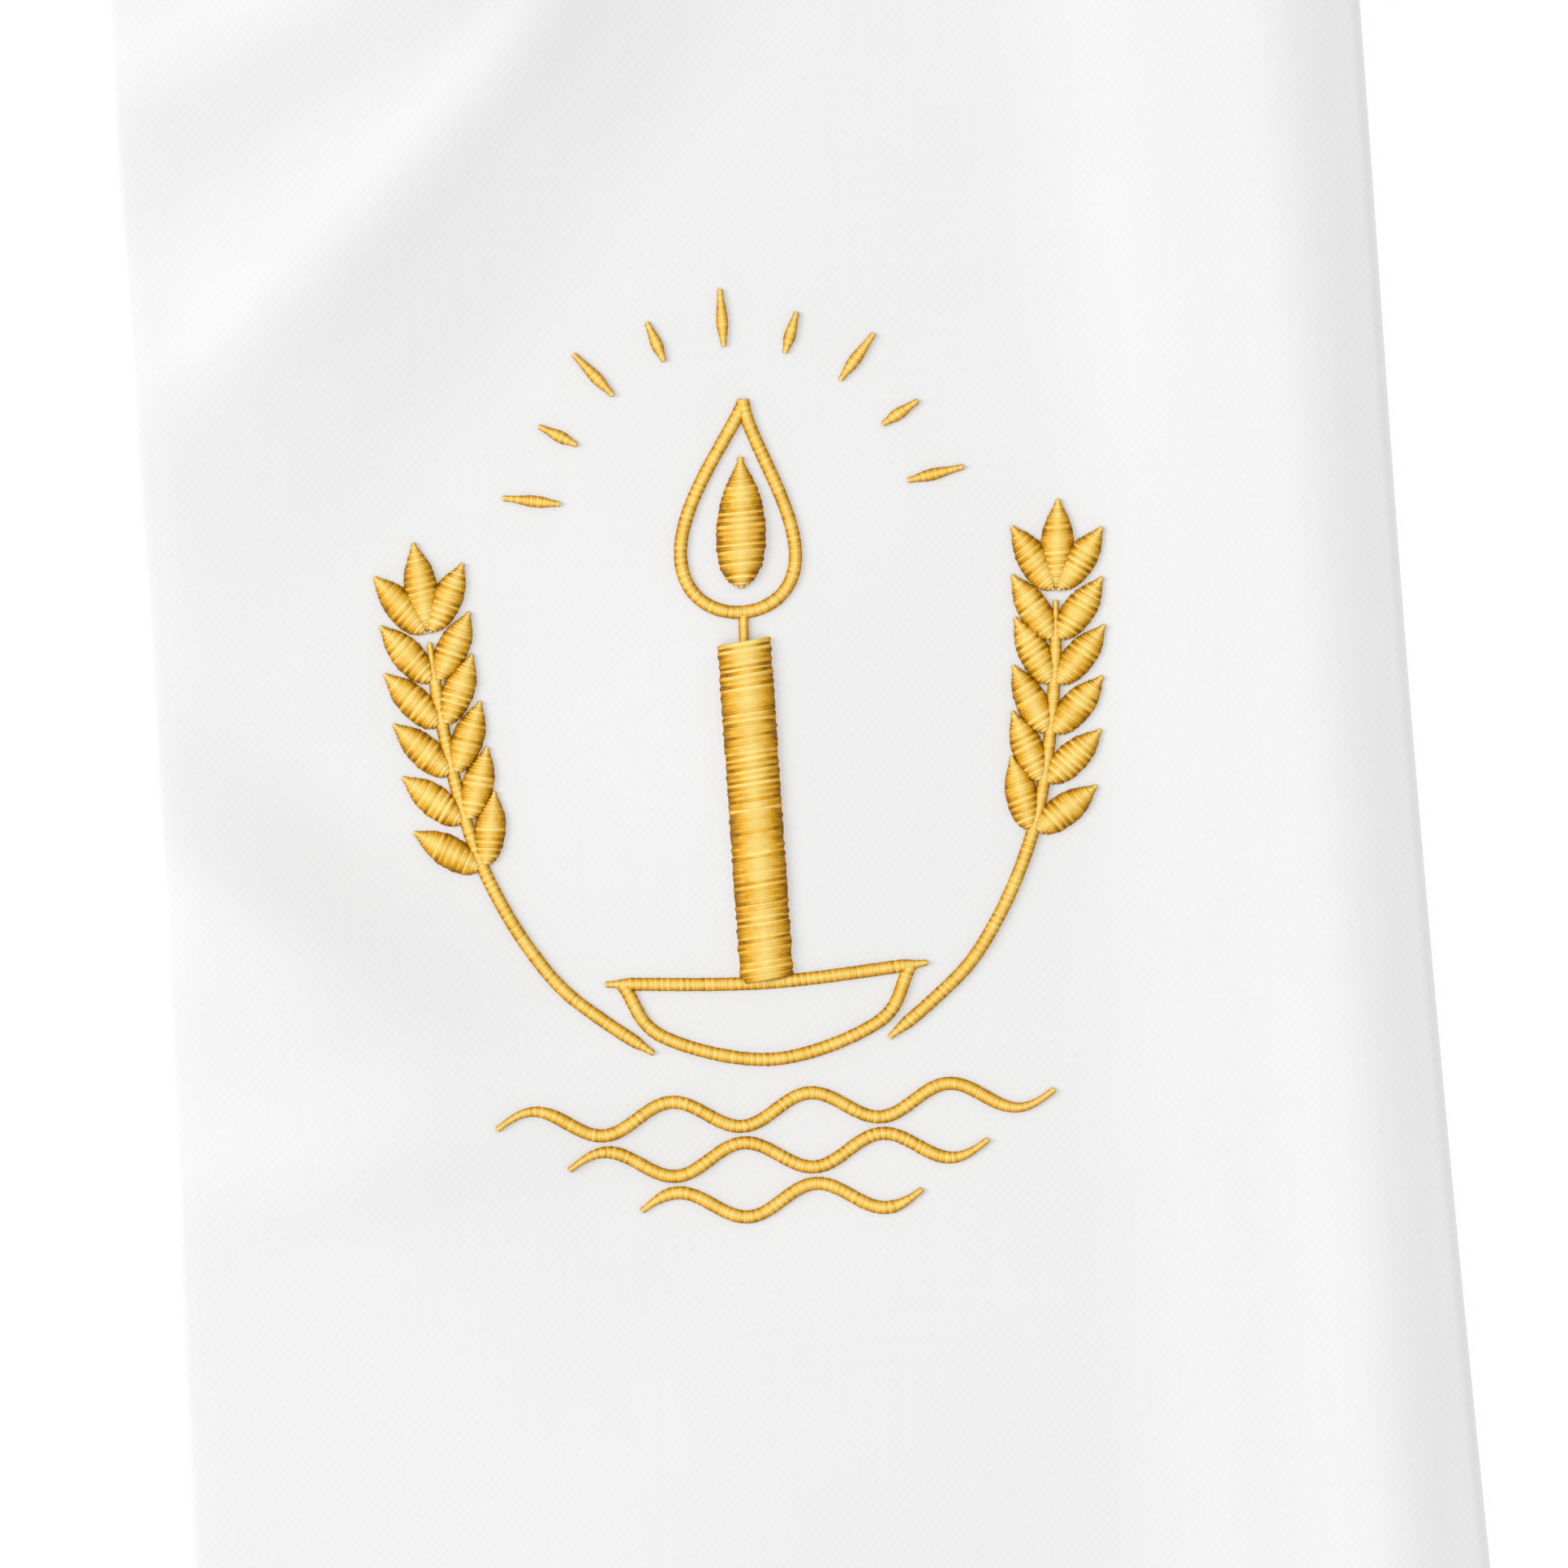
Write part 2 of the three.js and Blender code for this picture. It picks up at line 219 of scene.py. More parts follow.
def strip_piece(name, folds, side):
    """One strip as a closed shell: its face and its back meet all round on a rounded edge."""
    pitch = 1.6
    columns = 58
    from_edge = np.array([0, 0.12, 0.4, 0.9, 1.6, 2.5, 3.7])
    corner = 2.2
    edge = from_edge[-1]
    rows = int((STRIP_LENGTH - 2 * edge) / pitch)
    up = np.concatenate((from_edge, np.linspace(edge, STRIP_LENGTH - edge, rows)[1:-1],
                         STRIP_LENGTH - from_edge[::-1]))[:, None]
    half = width_at(up) / 2 - corner * (1 - rounded(up, corner))
    inner = np.linspace(-1, 1, columns)[None, 1:-1] * (half - edge)
    across = np.concatenate((from_edge - half, inner, half - from_edge[::-1]), axis=1)

    # The iron thins the cloth towards its turned edges, and the neck end turns down to its seam.
    beside = half - np.abs(across)
    below = STRIP_LENGTH - up
    ironed = 3.6
    thinned = (0.24 * np.clip(1 - beside / ironed, 0, 1) ** 2
               + 0.3 * np.clip(1 - up / ironed, 0, 1) ** 2)
    face_edge, face_neck = 0.6, 1.3
    back_edge, back_neck = 1.0, 0.8
    face_round = (1 - thinned) * rounded(beside, face_edge) * rounded(up, face_edge)
    face_round = face_round * rounded(below, face_neck)
    back_round = rounded(beside, back_edge) * rounded(up, back_edge) * rounded(below, back_neck)
    lift = lift_of(folds, across, up)

    # The interlining is never quite even, and the seam at the neck draws the cloth in a little.
    uneven = (0.07 * np.sin(across / 9.1 + up / 23.0 + 1.3)
              + 0.06 * np.sin(across / 14.7 - up / 17.9)
              + 0.05 * np.sin(across / 5.9 + up / 41.0 + 4.0)
              + 0.04 * np.sin(up / 9.7 - across / 31.0))
    pucker = 0.22 * np.sin(across / 1.9 + 0.9 * np.sin(across / 5.3)) * np.exp(-below / 6.0)
    face = lift + CLOTH_THICK / 2 * (1 + face_round) + (uneven + pucker) * face_round
    back = lift + CLOTH_THICK / 2 * (1 - back_round)

    # The back shares the face's points along the rim, so the shell is closed.
    x, y = on_strip(across, up)
    across, up = np.broadcast_arrays(across, up)
    shape = x.shape
    top = np.arange(x.size).reshape(shape)
    inside = np.zeros(shape, bool)
    inside[1:-1, 1:-1] = True
    bottom = top.copy()
    bottom[inside] = x.size + np.arange(inside.sum())
    places = np.stack((side * x, y, face), axis=-1).reshape(-1, 3)
    places = np.concatenate((places, np.stack((side * x, y, back), axis=-1)[inside])) * MM
    flat = np.stack((across, up), axis=-1) * MM
    flat = np.concatenate((flat.reshape(-1, 2), flat[inside]))

    def cells(grid):
        """A grid's cells as quads. Those at its corners are cut in two from the corner inwards,
        so that face and back share no edge but the rim."""
        quads = np.stack((grid[:-1, :-1], grid[:-1, 1:], grid[1:, 1:], grid[1:, :-1]), axis=-1)
        whole = np.ones(quads.shape[:2], bool)
        halves = []
        for turn, cell in enumerate(((0, 0), (0, -1), (-1, -1), (-1, 0))):
            whole[cell] = False
            a, b, c, d = np.roll(quads[cell], -turn).tolist()
            halves += [[a, b, c], [a, c, d]]
        return quads[whole].tolist() + halves

    faces = cells(top) + [face[::-1] for face in cells(bottom)]
    if side < 0:
        faces = [face[::-1] for face in faces]
    mesh = bpy.data.meshes.new(name)
    mesh.from_pydata(places.tolist(), [], faces)
    mesh.uv_layers.new(name="cloth").data.foreach_set("uv", flat[np.concatenate(faces)].ravel())
    mesh.shade_smooth()
    mesh.validate()
    piece = bpy.data.objects.new(name, mesh)
    bpy.context.scene.collection.objects.link(piece)
    return piece


class Wire:
    """A socket of a node tree. Arithmetic on wires adds the Math nodes that do it."""

    def __init__(self, tree, socket=None):
        self.tree = tree
        self.socket = socket

    def node(self, kind, settings=None, inputs=None):
        """Adds a node: its settings first, then the values or wires of its sockets."""
        made = self.tree.nodes.new(kind)
        for name, value in (settings or {}).items():
            setattr(made, name, value)
        for name, value in (inputs or {}).items():
            if isinstance(name, int):
                socket = made.inputs[name]
            else:
                socket = next(s for s in made.inputs if s.enabled and s.name == name)
            if isinstance(value, Wire):
                self.tree.links.new(value.socket, socket)
            else:
                socket.default_value = value
        return Wire(self.tree, next((s for s in made.outputs if s.enabled), None) or made.inputs[0])

    def out(self, name):
        """Another output of the same node."""
        outputs = self.socket.node.outputs
        return Wire(self.tree, next(s for s in outputs if s.enabled and s.name == name))

    def math(self, operation, first, second=0.0):
        """A Math node with two inputs."""
        return self.node("ShaderNodeMath", {"operation": operation}, {0: first, 1: second})

    def __add__(self, other):
        return self.math("ADD", self, other)

    def __sub__(self, other):
        return self.math("SUBTRACT", self, other)

    def __rsub__(self, other):
        return self.math("SUBTRACT", other, self)

    def __mul__(self, other):
        return self.math("MULTIPLY", self, other)

    def __truediv__(self, other):
        return self.math("DIVIDE", self, other)

    def __pow__(self, other):
        return self.math("POWER", self, other)

    def __abs__(self):
        return self.math("ABSOLUTE", self)

    __radd__ = __add__
    __rmul__ = __mul__


def new_material(name):
    """An empty node material, its tree as a wire to start from, and its surface input."""
    material = bpy.data.materials.new(name)
    material.use_nodes = True
    material.node_tree.nodes.clear()
    tree = Wire(material.node_tree)
    surface = material.node_tree.nodes.new("ShaderNodeOutputMaterial").inputs["Surface"]
    return material, tree, surface


def satin_material():
    """White satin: a soft sheen, a very fine weave, and faint uneven threads both ways."""
    weave_pitch = 0.38 * MM
    duller = (0.775, 0.775, 0.775, 1)
    brighter = (0.835, 0.835, 0.835, 1)
    material, tree, surface = new_material("white_satin")
    flat = tree.node("ShaderNodeUVMap", {"uv_map": "cloth"})
    place = tree.node("ShaderNodeSeparateXYZ", inputs={"Vector": flat})
    across, up = place.out("X"), place.out("Y")
    turn = math.pi / weave_pitch
    weave = tree.math("SINE", across * turn) * tree.math("SINE", up * turn)

    def noise(place, scale):
        return tree.node("ShaderNodeTexNoise", inputs={
            "Vector": place, "Scale": scale, "Detail": 2.0})

    def threads(wide, long):
        return noise(tree.node("ShaderNodeMapping", inputs={
            "Vector": flat, "Scale": (wide, long, 1)}), 1.0)

    slubs = threads(2600, 90) + threads(90, 2600) - 1.0
    cloudy = noise(flat, 55.0) - 0.5
    tone = 0.5 + slubs * 0.35 + cloudy * 0.5 + weave * 0.05
    colour = tree.node("ShaderNodeMix", {"data_type": "RGBA"}, {
        "Factor": tone, "A": duller, "B": brighter})
    relief = tree.node("ShaderNodeBump", inputs={
        "Height": weave * 0.5 + slubs * 1.2, "Strength": 0.35, "Distance": 0.03 * MM})
    satin = tree.node("ShaderNodeBsdfPrincipled", inputs={
        "Base Color": colour, "Roughness": 0.55, "IOR": 1.45, "Sheen Weight": 0.06,
        "Sheen Roughness": 0.5, "Specular IOR Level": 0.12, "Normal": relief})
    tree.tree.links.new(satin.socket, surface)
    return material


satin = satin_material()
strips = {}
for node, folds, side in (("strip_embroidered", FOLDS_EMBROIDERED + CREASES_EMBROIDERED, 1),
                          ("strip_plain", FOLDS_PLAIN + CREASES_PLAIN, -1)):
    piece = strip_piece(node.replace("strip", "satin"), folds, side)
    piece.data.materials.append(satin)
    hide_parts(node)
    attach(piece, "root")
    strips[node] = piece


# The seam at the back of the neck. The two turned ends are butted and closed by hand with a
# white thread, in short stitches that cross from one strip to the other and dip into the satin.
def geometry_tree(name, sockets):
    """A new Geometry Nodes tree with named inputs: name, kind and value of each."""
    tree = bpy.data.node_groups.new(name, "GeometryNodeTree")
    for way in ("INPUT", "OUTPUT"):
        tree.interface.new_socket("Geometry", in_out=way, socket_type="NodeSocketGeometry")
    for label, kind, value in sockets:
        socket = tree.interface.new_socket(label, in_out="INPUT", socket_type="NodeSocket" + kind)
        if value is not None:
            socket.default_value = value
    given = Wire(tree).node("NodeGroupInput")
    return tree, given


def stored(given, geometry, name, value):
    """The geometry with a value kept at each point under a name."""
    per_point = {"data_type": "FLOAT", "domain": "POINT"}
    return given.node("GeometryNodeStoreNamedAttribute", per_point, {
        "Geometry": geometry, "Name": name, "Value": value})


def kept(given, name):
    """The value that was stored under a name."""
    return given.node("GeometryNodeInputNamedAttribute", {"data_type": "FLOAT"}, {"Name": name})


def finished(given, solid, material):
    """The last steps of every tree here: smooth shading, plain geometry, and its material."""
    solid = given.node("GeometryNodeSetShadeSmooth", inputs={"Geometry": solid})
    solid = given.node("GeometryNodeRealizeInstances", inputs={"Geometry": solid})
    solid = given.node("GeometryNodeSetMaterial", inputs={"Geometry": solid, "Material": material})
    given.node("NodeGroupOutput", inputs={"Geometry": solid})


def over_cloth(given, place, level, height):
    """A point at a height over the cloth that lies under it, or over a level where none does."""
    high_up = 0.05
    across = place.node("ShaderNodeSeparateXYZ", inputs={"Vector": place})
    start = place.node("ShaderNodeCombineXYZ", inputs={
        "X": across.out("X"), "Y": across.out("Y"), "Z": high_up})
    cloth = place.node("GeometryNodeObjectInfo", inputs={"Object": given.out("Cloth")})
    ray = place.node("GeometryNodeRaycast", inputs={
        "Target Geometry": cloth.out("Geometry"), "Source Position": start,
        "Ray Direction": (0, 0, -1), "Ray Length": 2 * high_up})
    hit = place.node("ShaderNodeSeparateXYZ", inputs={"Vector": ray.out("Hit Position")}).out("Z")
    ground = place.node("GeometryNodeSwitch", {"input_type": "FLOAT"}, {
        "Switch": ray.out("Is Hit"), "False": level, "True": hit})
    return place.node("ShaderNodeCombineXYZ", inputs={
        "X": across.out("X"), "Y": across.out("Y"), "Z": ground + height})


def stitches_tree():
    """Threads laid side by side across a curve. The curve's radius is half the stitch's length."""
    posts, sides = 9, 6
    slack = 0.07 * MM
    tree, given = geometry_tree("satin_stitches", (
        ("Cloth", "Object", None),
        ("Level", "Float", 0.0),
        ("Spacing", "Float", 0.5 * MM),
        ("Thread Width", "Float", 0.5 * MM),
        ("Thread Height", "Float", 0.3 * MM),
        ("Padding", "Float", 0.3 * MM),
        ("Padding Share", "Float", 0.3),
        ("Sink", "Float", 0.12 * MM),
        ("Slant", "Float", 0.0),
        ("Unevenness", "Float", 0.06),
        ("Seed", "Int", 1),
        ("Thread", "Material", None),
    ))
    curve = stored(given, given.out("Geometry"), "half", given.node("GeometryNodeInputRadius"))
    along = given.node("GeometryNodeCurveToPoints", {"mode": "LENGTH"}, {
        "Curve": curve, "Length": given.out("Spacing")})

    def chance(low, high, offset):
        return given.node("FunctionNodeRandomValue", {"data_type": "FLOAT"}, {
            "Min": low, "Max": high, "Seed": given.out("Seed") + offset})

    # Threads differ at random in tone, and every other one is painted darker, as painted shade
    # between the stitches; a few are pulled tighter.
    every_other = given.math("MODULO", given.node("GeometryNodeInputIndex"), 2.0)
    shaded = stored(given, along, "shade", chance(0.0, 0.6, 0) + every_other * 0.4)
    shaded = stored(given, shaded, "taut", chance(0.0, 1.0, 3) ** 3.0)
    uneven = given.out("Unevenness")
    angle = given.out("Slant") + chance(-1.0, 1.0, 1) * uneven
    heading = given.node("ShaderNodeVectorRotate", {"rotation_type": "Z_AXIS"}, {
        "Vector": along.out("Tangent"), "Angle": angle})
    turned = given.node("FunctionNodeAlignRotationToVector", {"axis": "Y", "pivot_axis": "Z"}, {
        "Vector": heading})
    half = kept(given, "half")
    length = half * (1.0 + chance(-1.0, 1.0, 2) * uneven)
    thread = given.node("GeometryNodeCurvePrimitiveLine", inputs={
        "Start": (-1, 0, 0), "End": (1, 0, 0)})
    thread = given.node("GeometryNodeResampleCurve", inputs={"Curve": thread, "Count": posts})
    laid = given.node("GeometryNodeInstanceOnPoints", inputs={
        "Points": shaded, "Instance": thread, "Rotation": turned,
        "Scale": given.node("ShaderNodeCombineXYZ", inputs={"X": length, "Y": 1.0, "Z": 1.0})})
    laid = given.node("GeometryNodeRealizeInstances", inputs={"Geometry": laid})

    # Each thread arches over the padding and dives into the cloth at both ends.
    reach = given.node("GeometryNodeSplineParameter") * 2.0 - 1.0
    laid = stored(given, laid, "reach", reach)
    arch = (1.0 - reach * reach) ** 0.5
    padding = given.out("Padding") + half * given.out("Padding Share")
    height = arch * (padding + given.out("Sink") - kept(given, "taut") * slack) - given.out("Sink")
    place = given.node("GeometryNodeInputPosition")
    laid = given.node("GeometryNodeSetPosition", inputs={
        "Geometry": laid, "Position": over_cloth(given, place, given.out("Level"), height)})
    laid = given.node("GeometryNodeSetCurveNormal", {"mode": "Z_UP"}, {"Curve": laid})
    section = given.node("GeometryNodeCurvePrimitiveCircle", inputs={
        "Resolution": sides, "Radius": 0.5})
    section = given.node("GeometryNodeTransform", inputs={
        "Geometry": section, "Scale": given.node("ShaderNodeCombineXYZ", inputs={
            "X": given.out("Thread Width"), "Y": given.out("Thread Height"), "Z": 1.0})})
    solid = given.node("GeometryNodeCurveToMesh", inputs={
        "Curve": laid, "Profile Curve": section, "Scale": 1.0, "Fill Caps": True})
    finished(given, solid, given.out("Thread"))
    return tree


def grown(name, curve, tree, **values):
    """The plain mesh that a tree makes from a curve. Values name the tree's inputs."""
    base = bpy.data.objects.new(name, curve)
    bpy.context.scene.collection.objects.link(base)
    modifier = base.modifiers.new(name, "NODES")
    modifier.node_group = tree
    for item in tree.interface.items_tree:
        key = item.name.lower().replace(" ", "_")
        if item.in_out == "INPUT" and key in values:
            modifier[item.identifier] = values[key]
    evaluated = base.evaluated_get(bpy.context.evaluated_depsgraph_get())
    mesh = bpy.data.meshes.new_from_object(evaluated)
    mesh.name = name
    bpy.data.objects.remove(base)
    bpy.data.curves.remove(curve)
    piece = bpy.data.objects.new(name, mesh)
    bpy.context.scene.collection.objects.link(piece)
    return piece


def strokes_curve(name, strokes):
    """Poly splines in one curve: each stroke is points in metres and a half width at each."""
    curve = bpy.data.curves.new(name, "CURVE")
    curve.dimensions = "3D"
    for points, halves in strokes:
        spline = curve.splines.new("POLY")
        spline.points.add(len(points) - 1)
        spline.points.foreach_set("co", np.column_stack((points, np.ones(len(points)))).ravel())
        spline.points.foreach_set("radius", np.asarray(halves, float))
    return curve


def thread_material(name, dark, middle, light, roughness, metallic):
    """Glossy twisted thread, with a painted highlight along its crest and painted shade that
    deepens towards its ends, where it dives into the cloth.
    """
    wide_enough = 1.4 * MM
    material, tree, surface = new_material(name)

    def attribute(label):
        return tree.node("ShaderNodeAttribute", {"attribute_name": label}).out("Fac")

    # Each thread's fibres have a pattern of their own, which its shade picks.
    shade = attribute("shade")
    reach = abs(attribute("reach"))
    own = tree.node("ShaderNodeCombineXYZ", inputs={"X": shade * 400.0, "Y": reach * 2.2, "Z": 0.0})
    fibres = tree.node("ShaderNodeTexNoise", inputs={"Vector": own, "Scale": 1.0, "Detail": 2.0})

    # Threads differ less on the narrow lines, where they are short and lie tight.
    wide = tree.math("MINIMUM", attribute("half") / wide_enough, 1.0) * 0.7 + 0.3
    uneven = (shade - 0.5) * (0.4 + reach * 0.45) + (fibres - 0.5) * (0.4 + reach * 0.5)
    # Painted light: lit is highest at the middle of each thread, a painted highlight along its
    # crest, and falls towards both ends, painted shade where the thread dives into the cloth.
    # uneven adds the threads' own random tone and the painted shade between stitches, more of both
    # towards the ends.
    lit = 0.98 - reach ** 1.5 * 1.02 + uneven * wide
    # dark is the colour of the painted shade at the ends, middle the thread's own colour, and light
    # the painted highlight.
    colour = tree.node("ShaderNodeMix", {"data_type": "RGBA"}, {
        "Factor": lit * 1.9, "A": (*dark, 1), "B": (*middle, 1)})
    colour = tree.node("ShaderNodeMix", {"data_type": "RGBA"}, {
        "Factor": (lit - 0.5) * 1.6, "A": colour, "B": (*light, 1)})
    relief = tree.node("ShaderNodeBump", inputs={
        "Height": fibres, "Strength": 0.3, "Distance": 0.05 * MM})
    finish = tree.node("ShaderNodeBsdfPrincipled", inputs={
        "Base Color": colour, "Roughness": roughness, "Metallic": metallic, "IOR": 1.5,
        "Specular IOR Level": 0.15, "Normal": relief})
    tree.tree.links.new(finish.socket, surface)
    return material


# Its three colours are the painted shade at the stitch ends, the thread's own white, and the
# painted highlight along its crest.
white_thread = thread_material(
    "white_thread", (0.62, 0.62, 0.61), (0.78, 0.78, 0.77), (0.86, 0.86, 0.85), 0.4, 0.0)
stitches = stitches_tree()

SEAM_STITCH = 2.6
SEAM_HALF = 1.15
SEAM_LEVEL = 1.32
SEAM_INSET = 2.4
seam_reach = neck_half - SEAM_INSET
seam_y = (np.arange(-seam_reach, seam_reach, SEAM_STITCH / 4) + middle_y[0]) * MM
seam_line = np.column_stack((np.zeros(len(seam_y)), seam_y, np.zeros(len(seam_y))))
seam_stroke = (seam_line, np.full(len(seam_y), SEAM_HALF * MM))
neck_seam = grown(
    "neck_seam", strokes_curve("neck_seam", [seam_stroke]), stitches,
    level=SEAM_LEVEL * MM, spacing=SEAM_STITCH * MM, thread_width=0.32 * MM,
    thread_height=0.24 * MM, padding=0.12 * MM, padding_share=0.05, sink=0.1 * MM,
    slant=math.radians(24), unevenness=0.08, seed=3, thread=white_thread)
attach(neck_seam, "root")


# The embroidery: gold rayon thread in satin stitch, sewn by machine through the face over a
# padding of underlay stitches. It is a generic design: a candle in a dish, with its flame and
# rays, between two ears of wheat, over three waves.
EMBLEM_ACROSS = -2.4
EMBLEM_UP = 124.3
OUTLINE = 0.5
FINE_LINE = 0.36


def through(places):
    """A smooth path through a few places, with points a pitch apart, in millimetres from the
    middle of the design."""
    pitch = 0.35
    places = np.asarray(places, float)
    ends = (2 * places[0] - places[1], 2 * places[-1] - places[-2])
    posts = np.vstack((ends[0], places, ends[1]))
    path = []
    for a, b, c, d in zip(posts[:-3], posts[1:-2], posts[2:-1], posts[3:]):
        count = max(2, int(math.dist(b, c) / pitch * 3))
        t = np.linspace(0, 1, count, endpoint=False)[:, None]
        path.append(0.5 * (2 * b + (c - a) * t + (2 * a - 5 * b + 4 * c - d) * t ** 2
                           + (3 * b - a - 3 * c + d) * t ** 3))
    path = np.vstack((*path, places[-1]))
    run = np.concatenate(([0], np.cumsum(np.hypot(*np.diff(path, axis=0).T))))
    even = np.linspace(0, run[-1], max(4, int(run[-1] / pitch)))
    return np.column_stack((np.interp(even, run, path[:, 0]), np.interp(even, run, path[:, 1])))


def stroke(places, half, tips=(0.0, 0.0)):
    """A line of satin stitch. tips are the shares of its length that narrow at its two ends."""
    narrowest = 0.4
    path = through(places)
    share = np.linspace(0, 1, len(path))
    halves = np.full(len(path), float(half))
    for from_tip, tip in ((share, tips[0]), (1 - share, tips[1])):
        if tip:
            halves *= narrowest + (1 - narrowest) * smooth(from_tip / tip)
    return path, halves


def drop(base, tip, half, fullest=0.45):
    """A padded flame or grain: round at its base, fullest part way, and pointed at its tip."""
    point = 0.12
    path = through((base, tip))
    share = np.linspace(0, 1, len(path))
    rise = np.sqrt(np.clip(1 - (1 - np.clip(share / fullest, 0, 1)) ** 2.4, 0, 1))
    fall = 1 - np.clip((share - fullest) / (1 - fullest), 0, 1) ** 2.2
    return path, half * np.maximum(np.minimum(rise, fall), point)


def sewn(strokes):
    """The strokes in their places on the strip, in metres."""
    placed = []
    for path, halves in strokes:
        x, y = on_strip(EMBLEM_ACROSS + path[:, 0], EMBLEM_UP + path[:, 1])
        placed.append((np.column_stack((x, y, np.zeros(len(x)))) * MM, halves * MM))
    return placed


def candle_strokes():
    """The candle, its wick and flame, the dish under it, and the rays over it."""
    candle_half = 2.15
    ray_half = 0.46
    ray_middle = 18.6
    ray_start, ray_ends = 14.2, (18.4, 17.2)

    # The outline of the flame leans over to the right near its tip, which is the first point.
    turn = np.linspace(0, 2 * math.pi, 61)
    flame = np.column_stack((6.6 * np.sin(turn) * np.abs(np.sin(turn / 2)) ** 1.6,
                             19.8 + 8.3 * np.cos(turn)))
    flame[:, 0] += 1.2 * np.clip((flame[:, 1] - 16) / 12, 0, 1) ** 2
    foot = 30
    strokes = [
        stroke([(0, -17.5), (0, 9)], candle_half),
        drop((0.1, 13.6), (0.7, 23.6), 2.0, 0.38),
        stroke([(0, 9), (0.1, 11.4)], FINE_LINE),
        stroke(flame[:foot + 1], OUTLINE),
        stroke(flame[foot:], OUTLINE),
        stroke([(-12.6, -17.2), (0, -17.9), (12.6, -17.2)], OUTLINE, (0.08, 0.08)),
        stroke([(-11.4, -17.4), (-8.6, -21.6), (0, -24), (8.6, -21.6), (11.4, -17.4)], OUTLINE),
    ]
    for i, angle in enumerate(range(10, 171, 20)):
        heading = math.radians(angle)
        ray = [(reach * math.cos(heading), ray_middle + reach * math.sin(heading))
               for reach in (ray_start, ray_ends[i % 2])]
        strokes.append(stroke(ray, ray_half, (0.4, 0.6)))
    return strokes


def wheat_strokes():
    """Two ears of wheat that bend outwards: a stem, pairs of grains along it, and one on top."""
    stem_places = ((9.5, -22.8), (16.5, -17), (21.6, -8), (24, 2), (25, 12))
    pairs = 6
    lowest, highest = 0.5, 0.98
    spread = math.radians(34)
    grain_start, grain_tip, grain_half = 0.5, 6.2, 1.3
    top_length, top_half = 6.6, 1.35
    strokes = []
    for side in (-1, 1):
        stem = through([(side * x, y) for x, y in stem_places])
        strokes.append(stroke(stem[::12], OUTLINE, (0.05, 0.1)))
        for i in range(pairs):
            at = int(len(stem) * (lowest + (highest - lowest) * i / (pairs - 1)))
            root = stem[at]
            ahead = root - stem[at - 8]
            heading = math.atan2(ahead[1], ahead[0])
            for hand in (-1, 1):
                turn = heading + hand * spread
                outwards = np.array((math.cos(turn), math.sin(turn)))
                grain = (root + grain_start * outwards, root + grain_tip * outwards)
                strokes.append(drop(*grain, grain_half))
        ahead = stem[-1] - stem[-6]
        top = stem[-1] + ahead / np.linalg.norm(ahead) * top_length
        strokes.append(drop(stem[-1], top, top_half))
    return strokes


def wave_strokes():
    """Three lines of waves, each shorter than the one above it."""
    wave_high = 1.15
    posts = 12
    strokes = []
    for up, half_wide, crests in ((-28.0, 22, 4), (-31.6, 16.5, 3), (-35.2, 11, 2)):
        step = np.arange(posts * crests + 1)
        x = half_wide * (2 * step / (posts * crests) - 1)
        y = up + wave_high * np.sin(2 * math.pi * step / posts)
        strokes.append(stroke(np.column_stack((x, y)), OUTLINE, (0.12, 0.12)))
    return strokes


def padding_tree():
    """A low closed cushion under a line of stitches, which fills the gaps between the threads."""
    narrower = 0.86
    sunk = 0.2 * MM
    tree, given = geometry_tree("stitch_padding", (
        ("Cloth", "Object", None),
        ("Padding", "Float", 0.3 * MM),
        ("Padding Share", "Float", 0.3),
        ("Thread", "Material", None),
    ))
    radius = given.node("GeometryNodeInputRadius")
    curve = stored(given, given.out("Geometry"), "half", radius)
    curve = given.node("GeometryNodeSetCurveNormal", {"mode": "Z_UP"}, {"Curve": curve})
    section = given.node("GeometryNodeCurvePrimitiveCircle", inputs={
        "Resolution": 12, "Radius": narrower})

    # The section's own Y points down once it is carried along the line.
    place = given.node("ShaderNodeSeparateXYZ", inputs={
        "Vector": given.node("GeometryNodeInputPosition")})
    section = stored(given, section, "bulge", place.out("Y") / -narrower)
    solid = given.node("GeometryNodeCurveToMesh", inputs={
        "Curve": curve, "Profile Curve": section, "Scale": radius, "Fill Caps": True})
    bulge = kept(given, "bulge")
    padding = given.out("Padding") + kept(given, "half") * given.out("Padding Share")
    up = given.math("MAXIMUM", bulge, 0.0) ** 0.6 * padding
    down = given.math("MINIMUM", bulge, 0.0) * sunk
    place = given.node("GeometryNodeInputPosition")
    solid = given.node("GeometryNodeSetPosition", inputs={
        "Geometry": solid, "Position": over_cloth(given, place, 0.0, up + down)})
    finished(given, solid, given.out("Thread"))
    return tree


# Its three colours are the painted shade at the stitch ends, the gold's own colour, and the painted
# highlight along its crest.
gold_thread = thread_material(
    "gold_thread", (0.26, 0.105, 0.001), (0.75, 0.38, 0.012), (0.95, 0.74, 0.235), 0.42, 0.0)
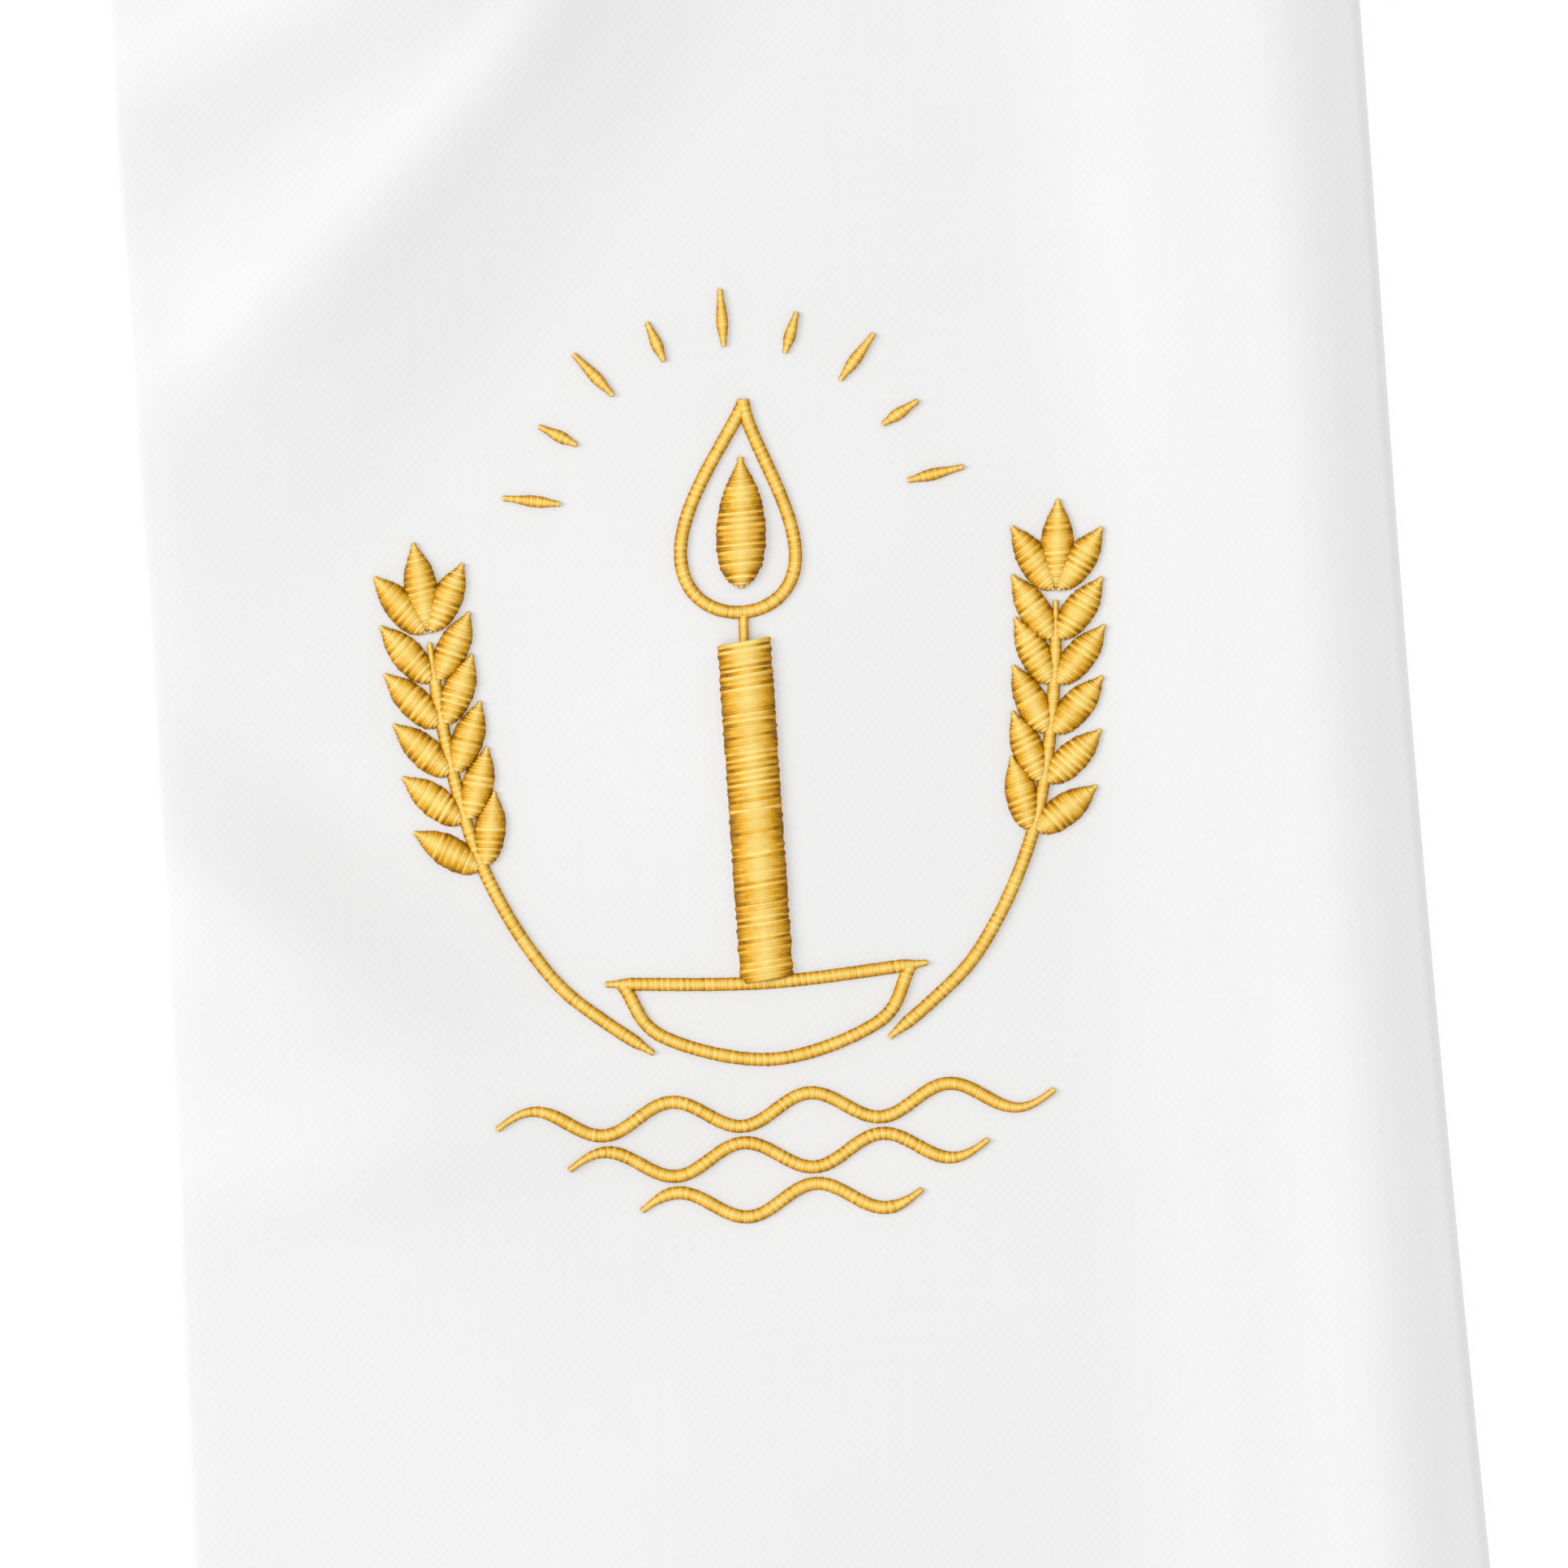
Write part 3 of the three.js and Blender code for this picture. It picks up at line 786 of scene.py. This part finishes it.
# The padding is a much deeper gold than the threads on it: painted shade in the gaps between them.
gold_padding = thread_material(
    "gold_padding", (0.24, 0.115, 0.008), (0.32, 0.16, 0.012), (0.36, 0.18, 0.015), 0.6, 0.0)
padding = padding_tree()
PAD_BASE = 0.24 * MM
PAD_SHARE = 0.3
UNDER_THREADS = 0.8
embroidery = []
for name, strokes, seed in (("candle", candle_strokes(), 11), ("wheat", wheat_strokes(), 23),
                            ("waves", wave_strokes(), 37)):
    thread = grown(
        f"embroidered_{name}", strokes_curve(name, sewn(strokes)), stitches,
        cloth=strips["strip_embroidered"], spacing=0.25 * MM, thread_width=0.38 * MM,
        thread_height=0.15 * MM, padding=PAD_BASE, padding_share=PAD_SHARE, sink=0.12 * MM,
        slant=math.radians(6), unevenness=0.03, seed=seed, thread=gold_thread)
    under = grown(
        f"padding_{name}", strokes_curve(name, sewn(strokes)), padding,
        cloth=strips["strip_embroidered"], padding=PAD_BASE * UNDER_THREADS,
        padding_share=PAD_SHARE, thread=gold_padding)
    for piece in (thread, under):
        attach(piece, "root")
        embroidery.append(piece)


# The cut. Each strip is one sheet of cloth, cut to bend at the shoulder, and the area of a strip's
# cut is worked out from its widths. The embroidery and the stitches of the neck seam, which are
# sewn to the embroidered strip, are gathered with it, and nothing further is done with them.
heights = np.linspace(0, STRIP_LENGTH, 500)
cut_area = np.trapz(width_at(heights), heights) * MM * MM
for node, piece in strips.items():
    on_it = embroidery + [neck_seam] if node == "strip_embroidered" else []


# The studio: a white table that runs on as the backdrop, soft light from all round, and one
# broad lamp from the upper left that models the folds.
TABLE_REACH = 3.0
TABLE_BELOW = 0.0003
floor_mesh = bpy.data.meshes.new("table_top")
floor_mesh.from_pydata([(TABLE_REACH * x, TABLE_REACH * y, -TABLE_BELOW)
                        for x, y in ((-1, -1), (1, -1), (1, 1), (-1, 1))], [], [(0, 1, 2, 3)])
floor = bpy.data.objects.new("table_top", floor_mesh)
bpy.context.scene.collection.objects.link(floor)
floor_material, tree, surface = new_material("white_table")
table = tree.node("ShaderNodeBsdfPrincipled", inputs={
    "Base Color": (0.3, 0.3, 0.3, 1), "Roughness": 0.8, "Specular IOR Level": 0.1,
    "Emission Color": (1, 1, 1, 1), "Emission Strength": 0.74})
tree.tree.links.new(table.socket, surface)
floor.data.materials.append(floor_material)

# The camera looks straight down on the middle of what the photo shows.
PHOTO_UP = 122
PHOTO_SPAN = 0.1243
CAMERA_HEIGHT = 2.0
SENSOR = 36
middle = [float(at[0]) * MM for at in on_strip(np.array([0.0]), np.array([float(PHOTO_UP)]))]
camera_data = bpy.data.cameras.new("camera")
camera_data.sensor_width = SENSOR
camera_data.lens = SENSOR * (CAMERA_HEIGHT - CLOTH_THICK * MM) / PHOTO_SPAN
camera_data.clip_start = 0.05
camera = bpy.data.objects.new("camera", camera_data)
camera.location = (*middle, CAMERA_HEIGHT)
bpy.context.scene.collection.objects.link(camera)
bpy.context.scene.camera = camera

LAMP_LEFT, LAMP_FARTHER, LAMP_HEIGHT = 1.38, 0.14, 0.8
lamp_data = bpy.data.lights.new("lamp", "AREA")
lamp_data.shape = "DISK"
lamp_data.size = 0.7
lamp_data.energy = 11.6
lamp = bpy.data.objects.new("lamp", lamp_data)
lamp.location = (middle[0] - LAMP_LEFT, middle[1] + LAMP_FARTHER, LAMP_HEIGHT)
tilt = math.atan2(math.hypot(LAMP_LEFT, LAMP_FARTHER), LAMP_HEIGHT)
facing = math.atan2(-LAMP_FARTHER, LAMP_LEFT)
lamp.rotation_euler = (tilt, 0, facing - math.pi / 2)
bpy.context.scene.collection.objects.link(lamp)

world = bpy.data.worlds.new("studio")
bpy.context.scene.world = world
world.use_nodes = True
world.node_tree.nodes["Background"].inputs["Color"].default_value = (1, 1, 1, 1)
world.node_tree.nodes["Background"].inputs["Strength"].default_value = 0.878
bpy.context.scene.view_settings.view_transform = "Standard"
